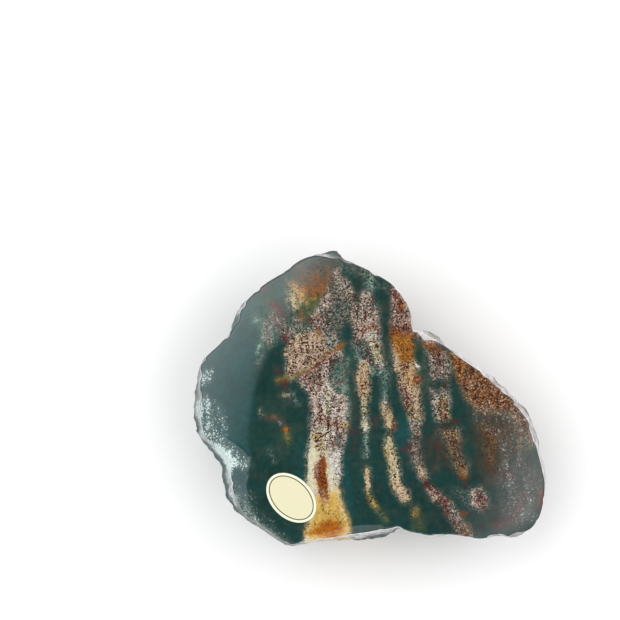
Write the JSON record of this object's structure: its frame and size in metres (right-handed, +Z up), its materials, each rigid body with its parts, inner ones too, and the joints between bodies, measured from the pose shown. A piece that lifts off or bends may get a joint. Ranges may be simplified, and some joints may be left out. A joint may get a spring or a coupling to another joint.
{
  "type": "bloodstone specimen",
  "caption": "Piece of bloodstone, rough-broken at the sides and back, with a flat polished face and a bare oval paper sticker.",
  "frame": {"origin": "on the surface the stone lies on, under the middle of its outline", "axes": "+Z up, out of the polished face; +X along the stone's length; +Y towards its pointed top"},
  "size_m": [0.074, 0.0623, 0.025],
  "materials": {
    "stone": "dark green chalcedony with cream, rust and red bands; glassy polish on the face, dull and paler where broken",
    "paper": "matt cream paper with a thin olive oval printed near its edge"
  },
  "bodies": {
    "root": {"stone": "stone", "label": "paper"}
  },
  "joints": []
}
